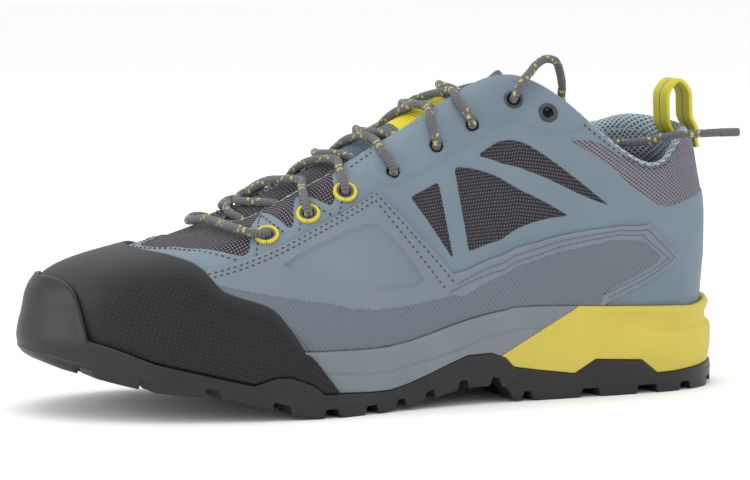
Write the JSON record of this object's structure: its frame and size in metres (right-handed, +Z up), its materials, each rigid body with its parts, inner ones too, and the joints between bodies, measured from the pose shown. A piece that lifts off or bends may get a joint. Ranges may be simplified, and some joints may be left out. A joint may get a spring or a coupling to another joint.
{
  "type": "approach shoe",
  "caption": "Low walking and climbing shoe with a rubber toe rand, stitched side panels, a grey and yellow foam midsole, a lugged outsole, round laces and a heel pull loop.",
  "frame": {"origin": "middle of the shoe's bounding box, on the floor", "axes": "+X to the toe, +Y to the outer side of the left foot, +Z up"},
  "size_m": [0.296, 0.1054, 0.1381],
  "materials": {
    "outsole_rubber": "matt black rubber",
    "midsole_grey": "matt moulded foam",
    "midsole_yellow": "matt moulded foam",
    "insole": "knit on foam",
    "upper_fabric": "smooth coated fabric",
    "tongue_mesh": "open mesh",
    "rand_rubber": "finely textured rubber",
    "panel_fabric": "coated fabric with fine ribs",
    "eyelet_yellow": "yellow stitched ring",
    "eyelet_dark": "dark satin",
    "lace": "braided grey cord with yellow flecks",
    "loop_tape": "woven lime tape"
  },
  "bodies": {
    "root": {"outsole": "outsole_rubber", "midsole_front": "midsole_grey", "midsole_heel": "midsole_yellow", "insole": "insole", "upper": "upper_fabric", "tongue": "tongue_mesh", "toe_rand": "rand_rubber", "side_panel_lateral": "panel_fabric", "side_panel_medial": "panel_fabric", "eyelet_lateral_1": "eyelet_yellow", "eyelet_lateral_2": "eyelet_yellow", "eyelet_lateral_3": "eyelet_yellow", "eyelet_lateral_7": "eyelet_dark", "eyelet_lateral_8": "eyelet_dark", "eyelet_medial_1": "eyelet_yellow", "eyelet_medial_2": "eyelet_yellow", "eyelet_medial_3": "eyelet_yellow", "eyelet_medial_7": "eyelet_dark", "eyelet_medial_8": "eyelet_dark", "lace_crossings": "lace", "lace_end": "lace", "heel_loop": "loop_tape"}
  },
  "joints": []
}
